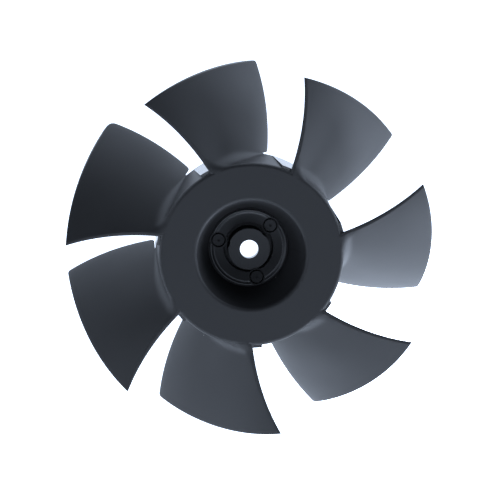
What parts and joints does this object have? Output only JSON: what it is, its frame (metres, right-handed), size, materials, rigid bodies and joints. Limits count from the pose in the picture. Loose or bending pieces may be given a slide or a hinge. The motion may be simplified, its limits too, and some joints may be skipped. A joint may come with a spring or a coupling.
{
  "type": "axial blower wheel",
  "caption": "Axial fan wheel for a blower motor: swept aerofoil blades on a drum hub with a deep conical front recess and a plain shaft bore in a floating centre boss.",
  "frame": {"origin": "centre of the shaft bore at the front face of the centre boss", "axes": "+Z along the shaft axis towards the front of the wheel, the side with the recess; the wheel lies on the rear edges of its blades"},
  "size_m": [0.1599, 0.16, 0.0418],
  "materials": {
    "hub_plastic": "fine spark-eroded slate-grey moulded plastic",
    "recess_plastic": "satin dark slate-grey moulded plastic",
    "boss_plastic": "fine matt slate-grey moulded plastic",
    "blade_plastic": "fine matt slate-grey moulded plastic with a soft sheen",
    "rib_plastic": "smooth dark slate-grey moulded plastic"
  },
  "bodies": {
    "root": {"hub_face": "hub_plastic", "hub_skirt": "hub_plastic", "recess_cone": "recess_plastic", "recess_floor": "recess_plastic", "floor_lip": "recess_plastic", "centre_boss": "boss_plastic", "boss_web": "boss_plastic", "gate_pad_1": "recess_plastic", "gate_pad_2": "recess_plastic", "gate_pad_3": "recess_plastic", "blade_1": "blade_plastic", "blade_root_land_1": "hub_plastic", "rear_rib_1": "rib_plastic", "blade_2": "blade_plastic", "blade_root_land_2": "hub_plastic", "rear_rib_2": "rib_plastic", "blade_3": "blade_plastic", "blade_root_land_3": "hub_plastic", "rear_rib_3": "rib_plastic", "blade_4": "blade_plastic", "blade_root_land_4": "hub_plastic", "rear_rib_4": "rib_plastic", "blade_5": "blade_plastic", "blade_root_land_5": "hub_plastic", "rear_rib_5": "rib_plastic", "blade_6": "blade_plastic", "blade_root_land_6": "hub_plastic", "rear_rib_6": "rib_plastic", "blade_7": "blade_plastic", "blade_root_land_7": "hub_plastic", "rear_rib_7": "rib_plastic"}
  },
  "joints": []
}
